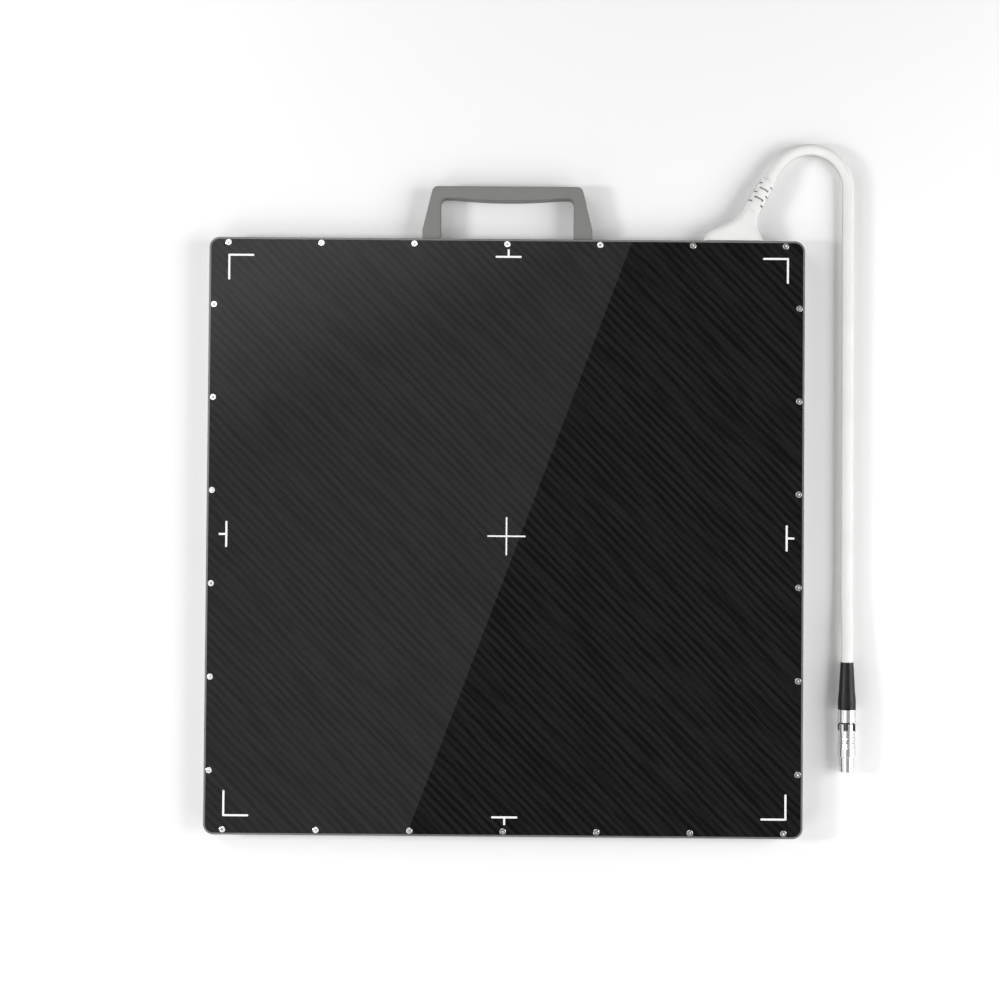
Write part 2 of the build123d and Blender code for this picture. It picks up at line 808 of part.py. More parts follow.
latch_r = guide_r - slide_fit
latch_inner_r = latch_r - latch_t
with BuildPart() as plug_barrel:
    add(
        turned(
            (plug_core_r + hole_gap, collet_end),
            (barrel_thread_r, collet_end),
            (barrel_thread_r, nut_end),
            (guide_r, nut_end),
            (guide_r, latch_start - thread_gap),
            (latch_inner_r - thread_gap, latch_start - thread_gap),
            (latch_inner_r - thread_gap, latch_end + latch_room),
            (guide_r, latch_end + latch_room),
            (guide_r, nose_start),
            (nose_r, nose_start),
            (nose_r, nose_groove),
            (nose_groove_r, nose_groove),
            (nose_groove_r, nose_groove + nose_groove_w),
            (nose_tip_r, nose_groove + nose_groove_w),
            (nose_tip_r, nose_end - nose_chamfer),
            (nose_tip_r - nose_chamfer, nose_end),
            (mouth_r, nose_end),
            (mouth_r, nose_end - mouth_depth),
            (insulator_seat_r, nose_end - mouth_depth),
            (insulator_seat_r, plug_core_end),
            (plug_core_r + hole_gap, plug_core_end),
        )
    )

with BuildPart() as plug_latch_ring:
    add(
        turned(
            (latch_inner_r, latch_start),
            (latch_r, latch_start),
            (latch_r, latch_end),
            (latch_inner_r, latch_end),
        )
    )
    finger_l = latch_end - latch_start - latch_ring_l
    with BuildSketch(plug_section.offset(latch_start + latch_ring_l)):
        with Locations((0, latch_finger_half)):
            Rectangle(2 * plug_r, plug_r, align=(Align.CENTER, Align.MIN))
        with Locations((0, -latch_finger_half)):
            Rectangle(2 * plug_r, plug_r, align=(Align.CENTER, Align.MAX))
    extrude(amount=finger_l, mode=Mode.SUBTRACT)

sleeve_start = nut_end + sleeve_gap
sleeve_bore = guide_r + slide_fit
with BuildPart() as plug_latch_sleeve:
    ridges = []
    start = ridge_start
    for length in ridge_lengths:
        groove_end = start + length - ridge_rise
        groove_mid = (start + ridge_step + groove_end) / 2
        ridges += [(plug_r, start), (plug_r - ridge_depth, start + ridge_step)]
        ridges += [(plug_r - ridge_depth + ridge_swell, groove_mid)]
        ridges += [(plug_r - ridge_depth, groove_end)]
        start += length
    ridges += [(plug_r, start)]
    add(
        turned(
            (sleeve_bore, sleeve_start),
            (plug_r - chamfer_small, sleeve_start),
            (plug_r, sleeve_start + chamfer_small),
            *ridges,
            (plug_r, sleeve_end - sleeve_nose_l),
            (sleeve_nose_r, sleeve_end),
            (sleeve_bore, sleeve_end),
        )
    )
    with BuildSketch(plug_section.offset(sleeve_start)):
        with PolarLocations(0, notch_count, start_angle=90 + notch_turn):
            Rectangle(2 * plug_r, notch_w, align=(Align.MIN, Align.CENTER))
    extrude(amount=notch_l, mode=Mode.SUBTRACT)

insulator_end = nose_end - mouth_depth
insulator_start = insulator_end - insulator_l
with BuildPart() as plug_insulator:
    add(
        turned(
            (0, insulator_start),
            (insulator_seat_r - thread_gap, insulator_start),
            (insulator_seat_r - thread_gap, insulator_end),
            (0, insulator_end),
        )
    )
    with BuildSketch(plug_section.offset(insulator_start)):
        with PolarLocations(contact_circle, contact_count):
            Circle(contact_r + thread_gap)
    extrude(amount=insulator_l, mode=Mode.SUBTRACT)

with BuildPart() as plug_contacts:
    with BuildSketch(plug_section.offset(plug_core_end)):
        with PolarLocations(contact_circle, contact_count):
            Circle(contact_r)
            Circle(contact_bore, mode=Mode.SUBTRACT)
    extrude(amount=insulator_end - plug_core_end)


# Imaging stack
def sheet(side, z, thickness):
    """A square sheet of the imaging stack."""
    with BuildPart() as piece:
        with BuildSketch(Plane.XY.offset(z)):
            Rectangle(side, side)
        extrude(amount=thickness)
    return piece


foam_pad = sheet(scintillator_side, z_foam, foam_t)
scintillator_plate = sheet(scintillator_side, z_scintillator, scintillator_t)
sensor_glass = sheet(glass_side, z_glass, glass_t)
shield_plate = sheet(glass_side, z_shield, shield_t)

# Boards: middle x, middle y, width, height, columns and rows of standoffs
board_low = -board_edge + readout_h / 2
readout_l = board_edge - readout_gap
main_x = board_edge - main_w / 2
main_y = board_edge - main_h / 2
power_x = board_edge - power_w / 2
power_y = board_edge - main_h - power_gap - power_h / 2
gate_x = -board_edge + gate_w / 2
main_spec = (main_x, main_y, main_w, main_h, 3, 2)
power_spec = (power_x, power_y, power_w, power_h, 2, 2)
readout_specs = [
    (side * (readout_gap + readout_l / 2), board_low, readout_l, readout_h, 3, 2)
    for side in (-1, 1)
]
gate_spec = (gate_x, 0, gate_w, gate_h, 2, 3)
board_specs = [main_spec, power_spec, *readout_specs, gate_spec]


def standoff_places(spec):
    """Places of the standoffs of one board, a grid inset from its edges."""
    x, y, w, h, columns, rows = spec
    step_x = (w - 2 * board_hole_inset) / (columns - 1)
    step_y = (h - 2 * board_hole_inset) / (rows - 1)
    left = x - w / 2 + board_hole_inset
    low = y - h / 2 + board_hole_inset
    return [(left + i * step_x, low + j * step_y) for i in range(columns) for j in range(rows)]


all_standoffs = [place for spec in board_specs for place in standoff_places(spec)]


def boards(*specs):
    """Circuit boards with a hole at each standoff."""
    with BuildPart() as piece:
        for spec in specs:
            x, y, w, h, _, _ = spec
            with BuildSketch(Plane.XY.offset(z_board)):
                with Locations((x, y)):
                    RectangleRounded(w, h, board_corner_r)
                with Locations(*standoff_places(spec)):
                    Circle(screw_r + hole_gap, mode=Mode.SUBTRACT)
            extrude(amount=board_t)
    return piece


main_board = boards(main_spec)
power_board = boards(power_spec)
readout_boards = boards(*readout_specs)
gate_board = boards(gate_spec)

with BuildPart() as support_plate:
    with BuildSketch(Plane.XY.offset(z_support)):
        Rectangle(support_side, support_side)
    extrude(amount=support_t)
    with BuildSketch(Plane.XY.offset(z_support)):
        with Locations(*boss_places, *all_standoffs):
            Circle(screw_r + thread_gap)
    extrude(amount=thread_depth + thread_gap, mode=Mode.SUBTRACT)

with BuildPart() as support_screws:
    for x, y in boss_places:
        add(pan_screw(Plane(origin=(x, y, z_boss)), boss_t + thread_depth))

with BuildPart() as board_standoffs:
    with BuildSketch(Plane.XY.offset(z_board_top)):
        with Locations(*all_standoffs):
            RegularPolygon(standoff_r, 6)
            Circle(screw_r + thread_gap, mode=Mode.SUBTRACT)
    extrude(amount=standoff_h)

with BuildPart() as board_screws:
    for x, y in all_standoffs:
        add(pan_screw(Plane(origin=(x, y, z_board)), board_t + standoff_h + thread_depth))


# Films that go from the top of the glass round its edge to the underside of a board
def film_strip(place, width, board_line):
    """One film, bent in the plane whose X points outwards from the glass and whose Y points up."""
    top = z_scintillator + film_t / 2
    low = z_board - film_t / 2
    outer = glass_side / 2 + film_reach
    with BuildPart() as piece:
        with BuildSketch(place.offset(-width / 2)):
            with BuildLine():
                FilletPolyline(
                    (glass_side / 2 - film_bond, top),
                    (outer, top),
                    (outer, low),
                    (board_line - film_tail, low),
                    radius=film_bend_r,
                )
            trace(line_width=film_t)
        extrude(amount=width)
    return piece.part


def spread(count, pitch):
    """Places along an edge, evenly spaced about its middle."""
    return [(i - (count - 1) / 2) * pitch for i in range(count)]


readout_places = [
    Plane(origin=(x, 0, 0), x_dir=(0, -1, 0), z_dir=(-1, 0, 0))
    for x in spread(readout_film_count, readout_film_pitch)
]
gate_places = [
    Plane(origin=(0, y, 0), x_dir=(-1, 0, 0), z_dir=(0, 1, 0))
    for y in spread(gate_film_count, gate_film_pitch)
]


def film_chips(places, length):
    """Chips on the inner side of the films' lower runs."""
    with BuildPart() as piece:
        for place in places:
            middle = glass_side / 2 + film_reach - film_chip_inset
            with BuildSketch(place.offset(-length / 2)):
                with Locations((middle, z_board)):
                    Rectangle(film_chip_w, film_chip_t, align=(Align.CENTER, Align.MIN))
            extrude(amount=length)
    return piece


with BuildPart() as readout_films:
    for place in readout_places:
        add(film_strip(place, readout_film_w, board_edge))

with BuildPart() as gate_films:
    for place in gate_places:
        add(film_strip(place, gate_film_w, board_edge))

readout_chips = film_chips(readout_places, readout_chip_l)
gate_chips = film_chips(gate_places, gate_chip_l)


# Parts on the undersides of the boards
def under_board(thickness, *blocks):
    """Flat blocks under the boards, each given as middle x, middle y, width and height."""
    with BuildPart() as piece:
        for x, y, w, h in blocks:
            with BuildSketch(Plane.XY.offset(z_board)):
                with Locations((x, y)):
                    Rectangle(w, h)
            extrude(amount=-thickness)
    return piece.part


def on_board(spec, *parts):
    """Parts whose places are offsets from the middle of a board."""
    return [(spec[0] + x, spec[1] + y, w, h) for x, y, w, h in parts]


with BuildPart() as processor_chips:
    add(under_board(chip_t, *on_board(main_spec, processor_spec, transformer_spec)))
    small_chips = on_board(main_spec, *memory_specs, link_chip_spec, clock_chip_spec)
    add(under_board(small_chip_t, *small_chips))

with BuildPart() as power_modules:
    add(under_board(chip_t, *on_board(power_spec, *module_specs, *converter_specs)))

with BuildPart() as shield_can:
    can_x, can_y, can_w, can_h = on_board(power_spec, can_spec)[0]
    inside = (can_x, can_y, can_w - 2 * can_wall, can_h - 2 * can_wall)
    add(under_board(connector_t + can_wall, (can_x, can_y, can_w, can_h)))
    add(under_board(connector_t, inside), mode=Mode.SUBTRACT)

with BuildPart() as thermal_pads:
    cooled = on_board(main_spec, processor_spec) + on_board(power_spec, *module_specs)
    for x, y, w, h in cooled:
        with BuildSketch(Plane.XY.offset(cover_t)):
            with Locations((x, y)):
                Rectangle(w - 2 * pad_margin, h - 2 * pad_margin)
        extrude(amount=z_board - chip_t - cover_t)

# Ribbon cables: main board to the two readout boards and to the gate board
readout_top = -board_edge + readout_h
main_low = board_edge - main_h
main_left = board_edge - main_w
gate_right = -board_edge + gate_w
ribbon_z = z_board - connector_t / 2
ribbon_high = z_support - ribbon_t / 2
readout_ribbon_x = [-30.0, 30.0]
gate_ribbon_y = gate_h / 2 - ffc_w
link_x = power_x + link_offset


def ribbon(place, start, end):
    """A flat cable that rises to the support plate between two connectors."""
    with BuildPart() as piece:
        with BuildSketch(place.offset(-ribbon_w / 2)):
            with BuildLine():
                FilletPolyline(
                    (start, ribbon_z),
                    (start + ribbon_slope, ribbon_z),
                    (start + 2 * ribbon_slope, ribbon_high),
                    (end - 2 * ribbon_slope, ribbon_high),
                    (end - ribbon_slope, ribbon_z),
                    (end, ribbon_z),
                    radius=ribbon_bend_r,
                )
            trace(line_width=ribbon_t)
        extrude(amount=ribbon_w)
    return piece.part


with BuildPart() as ribbon_cables:
    for x in readout_ribbon_x:
        place = Plane(origin=(x, 0, 0), x_dir=(0, 1, 0), z_dir=(1, 0, 0))
        add(ribbon(place, readout_top, main_low))
    place = Plane(origin=(0, gate_ribbon_y, 0), x_dir=(1, 0, 0), z_dir=(0, -1, 0))
    add(ribbon(place, gate_right, main_left))
    place = Plane(origin=(link_x, 0, 0), x_dir=(0, 1, 0), z_dir=(1, 0, 0))
    add(ribbon(place, power_y + power_h / 2, main_low))

with BuildPart() as board_connectors:
    sockets = [(x, readout_top - ffc_l / 2, ffc_w, ffc_l) for x in readout_ribbon_x]
    sockets += [(x, main_low + ffc_l / 2, ffc_w, ffc_l) for x in [*readout_ribbon_x, link_x]]
    sockets += [(link_x, power_y + power_h / 2 - ffc_l / 2, ffc_w, ffc_l)]
    sockets += [(gate_right - ffc_l / 2, gate_ribbon_y, ffc_l, ffc_w)]
    sockets += [(main_left + ffc_l / 2, gate_ribbon_y, ffc_l, ffc_w)]
    header = (inlet_x, header_face - header_l / 2, header_w, header_l)
    add(under_board(connector_t, *sockets, header))

pieces = {
    "frame": frame,
    "front_window": front_window,
    "window_markings": window_markings,
    "window_gasket": window_gasket,
    "window_screws": window_screws,
    "back_cover": back_cover,
    "cover_gasket": cover_gasket,
    "cover_screws": cover_screws,
    "handle": handle,
    "handle_screws": handle_screws,
    "cable_boot": cable_boot,
    "boot_gasket": boot_gasket,
    "boot_inserts": boot_inserts,
    "boot_screws": boot_screws,
    "inlet_cable": inlet_cable,
    "inlet_wires": inlet_wires,
    "cable": cable,
    "plug_bend_relief": plug_bend_relief,
    "plug_cable_end": plug_cable_end,
    "plug_collet_nut": plug_collet_nut,
    "plug_collet": plug_collet,
    "plug_barrel": plug_barrel,
    "plug_latch_ring": plug_latch_ring,
    "plug_latch_sleeve": plug_latch_sleeve,
    "plug_insulator": plug_insulator,
    "plug_contacts": plug_contacts,
    "foam_pad": foam_pad,
    "scintillator_plate": scintillator_plate,
    "sensor_glass": sensor_glass,
    "shield_plate": shield_plate,
    "support_plate": support_plate,
    "support_screws": support_screws,
    "main_board": main_board,
    "power_board": power_board,
    "readout_boards": readout_boards,
    "gate_board": gate_board,
    "board_standoffs": board_standoffs,
    "board_screws": board_screws,
    "readout_films": readout_films,
    "readout_chips": readout_chips,
    "gate_films": gate_films,
    "gate_chips": gate_chips,
    "processor_chips": processor_chips,
    "power_modules": power_modules,
    "shield_can": shield_can,
    "thermal_pads": thermal_pads,
    "board_connectors": board_connectors,
    "ribbon_cables": ribbon_cables,
}
os.makedirs("parts", exist_ok=True)
for name, piece in pieces.items():
    piece.part.label = name
    export_step(piece.part, f"parts/{name}.step")

boot_route = [exit_point, inlet_turn, jacket_end]
print("bend radii of the cable:", [round(r, 1) for r in bend_radii(cable_points)])
print("bend radius in the boot:", [round(r, 1) for r in bend_radii(boot_route)])
with BuildLine() as cable_route:
    FilletPolyline(*cable_points, radius=bend_radii(cable_points))
cable_length = sum(edge.length for edge in cable_route.edges())
print("length of the free cable:", round(cable_length, 1))
straight_volume = pi * cable_r**2 * cable_length
print("its volume over section times length:", round(cable.part.volume / straight_volume, 5))
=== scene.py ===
import json
from math import cos, pi, radians, sin

import bpy
from mathutils import Euler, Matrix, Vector

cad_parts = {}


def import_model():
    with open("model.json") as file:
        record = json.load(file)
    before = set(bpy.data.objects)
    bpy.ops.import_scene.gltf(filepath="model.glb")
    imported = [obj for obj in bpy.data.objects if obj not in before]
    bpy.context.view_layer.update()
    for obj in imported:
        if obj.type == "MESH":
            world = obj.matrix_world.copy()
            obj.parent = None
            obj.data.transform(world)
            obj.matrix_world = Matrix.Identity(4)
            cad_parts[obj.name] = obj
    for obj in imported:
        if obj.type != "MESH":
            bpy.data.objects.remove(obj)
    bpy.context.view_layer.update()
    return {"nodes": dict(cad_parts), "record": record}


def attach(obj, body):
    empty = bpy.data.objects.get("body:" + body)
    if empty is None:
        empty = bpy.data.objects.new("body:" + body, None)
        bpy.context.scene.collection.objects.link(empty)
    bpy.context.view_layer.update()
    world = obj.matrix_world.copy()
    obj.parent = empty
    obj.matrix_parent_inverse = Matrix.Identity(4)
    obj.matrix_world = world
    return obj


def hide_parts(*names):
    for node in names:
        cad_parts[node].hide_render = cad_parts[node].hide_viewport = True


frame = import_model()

# A wired flat panel x-ray detector that lies on its back on a white floor.
# Blender works in metres, and MM turns the millimetres of this script into them.
MM = 0.001

# Camera, as the photograph was taken: almost straight above the housing
LENS = 50.0
SENSOR = 36.0
CAMERA_PLACE = (-3.1, 11.2, 1084.0)
CAMERA_TURN = (0.921, 0.045, 0.458)  # degrees about X, Y and Z

# Cable: the route's points, in millimetres, from the strain relief to the plug
CABLE_D = 9.0
CABLE_ORDER = 3  # each stretch of the spline follows this many points
CABLE_STEPS = 24  # between two points
CABLE_ROUND_STEPS = 10  # in a quarter of its girth
CABLE_POINTS = [
    (202.15, 277.15, 7.5),
    (204.9, 281.9, 7.5),
    (210.5, 291.2, 7.2),
    (221.0, 300.4, 6.7),
    (234.4, 304.0, 6.1),
    (248.1, 301.3, 5.5),
    (259.2, 292.8, 5.0),
    (265.5, 280.0, 4.6),
    (265.5, 266.0, 4.6),  # this point and the next keep the long stretch straight
    (265.5, -15.0, 4.6),
    (265.5, -45.0, 4.6),
    (265.5, -75.0, 6.9),
    (265.5, -94.9, 6.9),
]

# Carbon-fibre window
TOW = 1.91  # width of one tow of the weave
TWILL = 4  # tows in one repeat of the 2 by 2 twill
TOW_DRIFT = 1.8  # how far the tows wander over a noise's range of 0 to 1, and over what length
TOW_DRIFT_SIZE = 14.0
RIB = 2.7  # width of the ribs that stand out from the rest, and how much longer they are
RIB_STRETCH = 14.0
RIB_PHASE = -0.5 * pi  # puts the ribs over the crossings of the tows
FIBRE = 0.22  # drawn much thicker than a real filament, so that the streaks show
STREAK_STRETCH = 30.0  # how much longer than wide the streaks are
LAMINATE_TINTS = ("060606", "1d1d1d")
BASE_SHARE = 0.28  # share of the lighter tint everywhere, and what each pattern adds to it
RIB_SHARE = 0.32
# painted sheen: the warp tows are drawn lighter than the weft tows
WARP_SHEEN_SHARE = 0.24
STREAK_SHARE = 0.24
LOT_SHARE = 0.88
# painted sheen: the middle of each tow is drawn lighter
CROWN_SHEEN_SHARE = 0.2
CROWN_HEIGHT = 0.02  # rise of each tow's middle
CROWN_STRENGTH = 0.6
COAT = {"Coat Weight": 0.38, "Coat Roughness": 0.01, "Coat IOR": 1.45}  # clear epoxy, polished

# Every finish: range in which most of a noise lies, and how much its grain shows beside its drift
NOISE_RANGE = (0.3, 0.7)
GRAIN_SHARE = 0.6
EVEN = (1.0, 1.0, 1.0)  # how much longer a grain is along each axis
ALONG_Y = (1.0, 40.0, 1.0)
ACROSS_X = (1.0, 30.0, 30.0)
ROUND_Y = (8.0, 1.0, 8.0)

# Painted shade on the steep sides of the white pieces, so that they keep their outline on the white
# floor
FLANK_PAINTED_SHADE = 0.5
FLANK_TOP = 0.6  # how far up or down the surface has to face to be free of the painted shade

# Strain relief: its round end's axis and the slots in it, with painted shade down in them
BOOT_EXIT = (202.15, 277.15, 7.5)
BOOT_LEAN = 29.5  # degrees from +Y
SLOT_FLOOR = 5.0  # distances from the axis
SLOT_TOP = 6.1
SLOT_END = 9.0  # distance along the axis, past the last slot
SLOT_PAINTED_SHADE = 0.75

# Plug: painted shade under the sleeve, full within the first radius and none from the second one on
UNDER_SLEEVE = 6.0
SLEEVE_INSIDE = 6.4
SLEEVE_END = 72.8  # from the plug's rear
SLEEVE_PAINTED_SHADE = 0.1

# Screws that hold the window and the cover
SCREW_LINE = 226.0  # from the housing's middle to each row
SCREW_PITCH = 71.75
ROW_SCREWS = 7  # in the upper and the lower row of both
WINDOW_SIDE_SCREWS = 6
COVER_SIDE_SCREWS = 5
COVER_SIDE_PITCH = 75.0
SIDE_DROP = 1.5  # the window's side rows sit this much lower
WINDOW_HEAD = 14.9  # heights of the heads' faces
COVER_HEAD = 0.1
WINDOW_SEED = 11  # the sockets' random turns
COVER_SEED = 23
HEAD_R = 2.45
SHANK_R = 1.25
SCREW_L = 6.0
SOCKET_FLAT = 1.5
SOCKET_DEPTH = 0.9
DRILL_POINT = 0.4  # the socket's floor is the cone that a drill leaves
EDGE_BREAK = 0.15  # small bevels of the socket, the shank's end and the head
RIM_BREAK = 0.3  # width of the head's bevel
SHARP_ANGLE = 20.0  # degrees between faces that meet in a crisp edge
THREAD_PITCH = 0.45
THREAD_DEPTH = 0.12
ROUND_STEPS = 48

# Floor and lamps, in metres
FLOOR_SIDE = 8.0
FLOOR_NEAR = 0.6  # distances from the middle between which the floor fades to plain white
FLOOR_FAR = 1.2
FLOOR_DROP = 0.00005  # the floor lies this far below the back face
FLOOR_BOUNCE = 0.65  # how much of its light the floor gives back to the object
SURROUND = 0.15  # strength of the surround as a light
LAMPS = {  # azimuth from +X, elevation, distance, side and power
    "soft_east": (0.0, 30.0, 1.6, 0.9, 16.5),
    "soft_northwest": (135.0, 30.0, 1.6, 0.9, 6.6),
    "soft_southeast": (315.0, 30.0, 1.6, 0.9, 5.4),
    "soft_southwest": (225.0, 30.0, 1.6, 0.9, 6.9),
    "small_west": (180.0, 29.0, 1.6, 0.25, 11.9),
}

# Cards that the gloss mirrors
WINDOW_TOP = 15.0
CARD_RISE = 900.0  # height of the cards above the window
CARD_HALF = 480.0  # the cards end where the window would mirror this distance from its middle
CARD_NEAR = 610.0  # distances from the middle between which they fade to the surround's white
CARD_FAR = 880.0
GLOSS_CORNER = (-206.0, 196.0)  # where the gloss on the window is brightest
GLOSS_EDGE = ((189.6, 480.0), (-166.8, -480.0))  # the cards meet in this line in the window's gloss
BRIGHT_CARD = 1.6  # radiance of the bright card
BRIGHT_CORNER = 3.6  # and where the gloss is brightest
BRIGHT_FADE = (-5.2, 8.9)  # change of that radiance per metre of the card along X and Y
FADE_SOFTNESS = 0.5  # of the place where the fade ends
DARK_CARD = 0.4


def colour(hex_value):
    """An sRGB hex colour as linear RGBA."""
    channels = [int(hex_value[i : i + 2], 16) / 255 for i in (0, 2, 4)]
    linear = [c / 12.92 if c <= 0.04045 else ((c + 0.055) / 1.055) ** 2.4 for c in channels]
    return (*linear, 1.0)


def add(tree, kind, inputs=None, **settings):
    """Adds a node. Inputs hold values, or the sockets of other nodes, or nodes whose first output
    is meant."""
    made = tree.nodes.new(kind)
    for name, value in settings.items():
        setattr(made, name, value)
    for socket, value in (inputs or {}).items():
        if isinstance(value, bpy.types.Node):
            value = value.outputs[0]
        if isinstance(value, bpy.types.NodeSocket):
            tree.links.new(value, made.inputs[socket])
        else:
            made.inputs[socket].default_value = value
    return made


def blank(name):
    """A material with an empty node tree."""
    made = bpy.data.materials.new(name)
    made.use_nodes = True
    made.node_tree.nodes.clear()
    return made, made.node_tree


def linked(made):
    """Puts an object in the scene."""
    bpy.context.scene.collection.objects.link(made)
    return made


def camera():
    """The photograph's camera."""
    data = bpy.data.cameras.new("camera")
    data.lens = LENS
    data.sensor_width = SENSOR
    made = linked(bpy.data.objects.new("camera", data))
    made.location = Vector(CAMERA_PLACE) * MM
    made.rotation_euler = Euler([radians(angle) for angle in CAMERA_TURN])
    bpy.context.scene.camera = made


def free_cable(jacket):
    """The free cable as one smooth spline through the route's points."""
    data = bpy.data.curves.new("free_cable", "CURVE")
    data.dimensions = "3D"
    data.bevel_depth = CABLE_D / 2 * MM
    data.bevel_resolution = CABLE_ROUND_STEPS
    data.resolution_u = CABLE_STEPS
    data.use_fill_caps = True
    spline = data.splines.new("NURBS")
    spline.points.add(len(CABLE_POINTS) - 1)
    for point, place in zip(spline.points, CABLE_POINTS):
        point.co = (*(Vector(place) * MM), 1.0)
    spline.order_u = CABLE_ORDER
    spline.use_endpoint_u = True
    data.materials.append(jacket)
    made = linked(bpy.data.objects.new("free_cable", data))
    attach(made, "detector")
    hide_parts("cable")


def noise(tree, place, size, stretch=EVEN, detail=2.0):
    """Noise whose features are this many millimetres, longer along an axis by its stretch."""
    scale = [1 / (size * MM * factor) for factor in stretch]
    scaled = add(tree, "ShaderNodeVectorMath", {0: place, 1: scale}, operation="MULTIPLY")
    return add(tree, "ShaderNodeTexNoise", {"Vector": scaled, "Scale": 1.0, "Detail": detail})


def spread(tree, pattern, middle=0.0):
    """Stretches the usual range of a noise to a width of 1 about this middle."""
    low, high = NOISE_RANGE
    limits = {1: low, 2: high, 3: middle - 0.5, 4: middle + 0.5}
    return add(tree, "ShaderNodeMapRange", {0: pattern, **limits})


def finish(
    name,
    shades,
    roughness,
    drift,
    grain,
    height=0.0,
    stretch=EVEN,
    detail=2.0,
    shade=None,
    **sockets,
):
    """A surface whose colour and roughness drift between two values over patches of the drift's
    size, with a grain of this size and height, all in millimetres. A painted shade multiplies its
    colour. Further sockets of the shader are given by name."""
    made, tree = blank(name)
    place = add(tree, "ShaderNodeTexCoord").outputs["Object"]
    patches = spread(tree, noise(tree, place, drift), 0.5)
    fine = noise(tree, place, grain, stretch, detail)
    share = add(
        tree,
        "ShaderNodeMath",
        {0: spread(tree, fine), 1: GRAIN_SHARE, 2: patches},
        operation="MULTIPLY_ADD",
    )
    tint = add(
        tree,
        "ShaderNodeMix",
        {0: share, 6: colour(shades[0]), 7: colour(shades[1])},
        data_type="RGBA",
    )
    base = tint.outputs[2]
    if shade:
        scale = shade(tree, place)
        base = add(tree, "ShaderNodeVectorMath", {0: base, "Scale": scale}, operation="SCALE")
    inputs = {
        "Base Color": base,
        "Roughness": add(tree, "ShaderNodeMapRange", {0: share, 3: roughness[0], 4: roughness[1]}),
    }
    if height:
        inputs["Normal"] = add(
            tree, "ShaderNodeBump", {"Height": fine, "Distance": height * MM, "Strength": 1.0}
        )
    inputs.update({socket.replace("_", " "): value for socket, value in sockets.items()})
    shader = add(tree, "ShaderNodeBsdfPrincipled", inputs)
    add(tree, "ShaderNodeOutputMaterial", {"Surface": shader})
    return made


def carbon_laminate():
    """Twill carbon fibre in epoxy under a clear gloss coat: near black, with soft diagonal ribs of
    lighter and darker tows, fine streaks along the fibres, painted sheen on the warp tows and the
    middle of each tow, and a mirror on top."""
    made, tree = blank("carbon_laminate")
    place = add(tree, "ShaderNodeTexCoord").outputs["Object"]
    wander = add(
        tree,
        "ShaderNodeTexNoise",
        {"Vector": place, "Scale": 1 / (TOW_DRIFT_SIZE * MM), "Detail": 3.0},
    )
    centred = add(
        tree,
        "ShaderNodeVectorMath",
        {0: wander.outputs[1], 1: (0.5, 0.5, 0.5)},
        operation="SUBTRACT",
    )
    shift = add(
        tree, "ShaderNodeVectorMath", {0: centred, "Scale": TOW_DRIFT * MM}, operation="SCALE"
    )
    moved = add(tree, "ShaderNodeVectorMath", {0: place, 1: shift}, operation="ADD")
    tows = add(
        tree, "ShaderNodeVectorMath", {0: moved, "Scale": 1 / (TOW * MM)}, operation="SCALE"
    )
    along = add(tree, "ShaderNodeSeparateXYZ", {0: tows}).outputs
    column, line = [
        add(tree, "ShaderNodeMath", {0: along[axis]}, operation="FLOOR") for axis in "XY"
    ]
    across_x, across_y = [
        add(tree, "ShaderNodeMath", {0: along[axis]}, operation="FRACT") for axis in "XY"
    ]
    cell = add(tree, "ShaderNodeMath", {0: column, 1: line}, operation="ADD")
    step = add(tree, "ShaderNodeMath", {0: cell, 1: float(TWILL)}, operation="FLOORED_MODULO")
    warp_up = add(
        tree, "ShaderNodeMath", {0: step, 1: TWILL / 2 - 0.5}, operation="LESS_THAN"
    )
    # each tow is rounded across its width, and its fibres run along it
    tow = add(tree, "ShaderNodeMix", {0: warp_up, 2: across_y, 3: across_x})
    half_turn = add(tree, "ShaderNodeMath", {0: tow, 1: pi}, operation="MULTIPLY")
    crown = add(tree, "ShaderNodeMath", {0: half_turn}, operation="SINE")
    streaks = add(
        tree,
        "ShaderNodeMix",
        {
            0: warp_up,
            2: noise(tree, place, FIBRE, (STREAK_STRETCH, 1.0, STREAK_STRETCH)),
            3: noise(tree, place, FIBRE, (1.0, STREAK_STRETCH, STREAK_STRETCH)),
        },
    )
    # the ribs run on smoothly where the tows cross, and single tows are darker by their lot
    diagonal = add(tree, "ShaderNodeMath", {0: along["X"], 1: along["Y"]}, operation="ADD")
    turn = add(
        tree,
        "ShaderNodeMath",
        {0: diagonal, 1: 2 * pi / TWILL, 2: RIB_PHASE},
        operation="MULTIPLY_ADD",
    )
    rib = add(tree, "ShaderNodeMath", {0: turn}, operation="COSINE")
    turned = add(
        tree, "ShaderNodeVectorRotate", {"Vector": place, "Angle": pi / 4}, rotation_type="Z_AXIS"
    )
    lot = noise(tree, turned, RIB, (RIB_STRETCH, 1.0, 1.0), 1.0)
    share = BASE_SHARE
    # the warp tows and the middle of each tow get painted sheen here
    for pattern, weight in (
        (rib, RIB_SHARE),
        (warp_up, WARP_SHEEN_SHARE),
        (spread(tree, streaks), STREAK_SHARE),
        (spread(tree, lot), LOT_SHARE),
        (crown, CROWN_SHEEN_SHARE),
    ):
        share = add(
            tree, "ShaderNodeMath", {0: pattern, 1: weight, 2: share}, operation="MULTIPLY_ADD"
        )
    dark, light = [colour(tint) for tint in LAMINATE_TINTS]
    tint = add(tree, "ShaderNodeMix", {0: share, 6: dark, 7: light}, data_type="RGBA")
    bump = add(
        tree,
        "ShaderNodeBump",
        {"Height": crown, "Distance": CROWN_HEIGHT * MM, "Strength": CROWN_STRENGTH},
    )
    shader = add(
        tree,
        "ShaderNodeBsdfPrincipled",
        {
            "Base Color": tint.outputs[2],
            "Roughness": 0.5,
            "Specular IOR Level": 0.0,
            "Normal": bump,
            **COAT,
        },
    )
    add(tree, "ShaderNodeOutputMaterial", {"Surface": shader})
    return made


